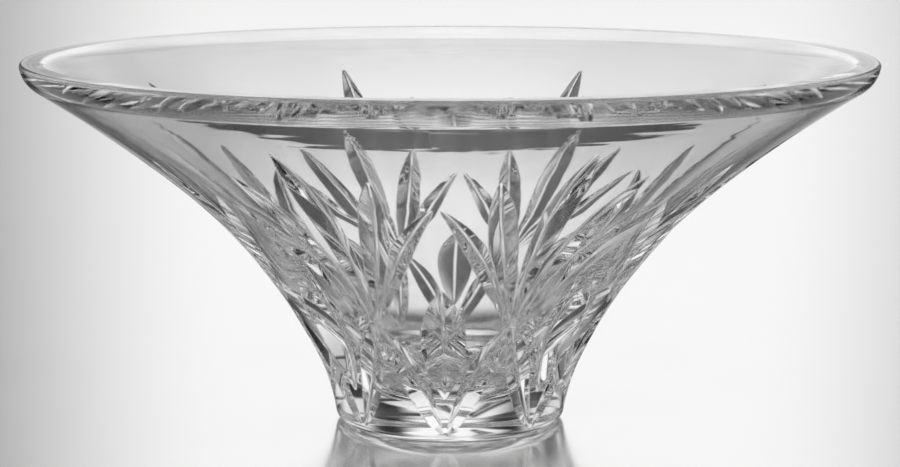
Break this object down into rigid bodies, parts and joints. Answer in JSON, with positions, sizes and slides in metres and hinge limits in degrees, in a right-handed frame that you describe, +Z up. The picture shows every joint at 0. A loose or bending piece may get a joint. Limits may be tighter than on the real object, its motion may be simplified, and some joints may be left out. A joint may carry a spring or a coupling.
{
  "type": "trifle bowl",
  "caption": "Wide flared trifle bowl of heavy clear cut glass on a narrow rounded foot, with fans of wheel-cut leaves round the outside, for serving layered desserts.",
  "frame": {"origin": "centre of the foot, on the plane that the bowl stands on", "axes": "+Z up along the bowl's axis; -Y is the front of the picture, a middle between two cut fans"},
  "size_m": [0.3, 0.3, 0.1308],
  "materials": {
    "clear_glass": "polished clear cut glass"
  },
  "bodies": {
    "root": {"bowl": "clear_glass"}
  },
  "joints": []
}
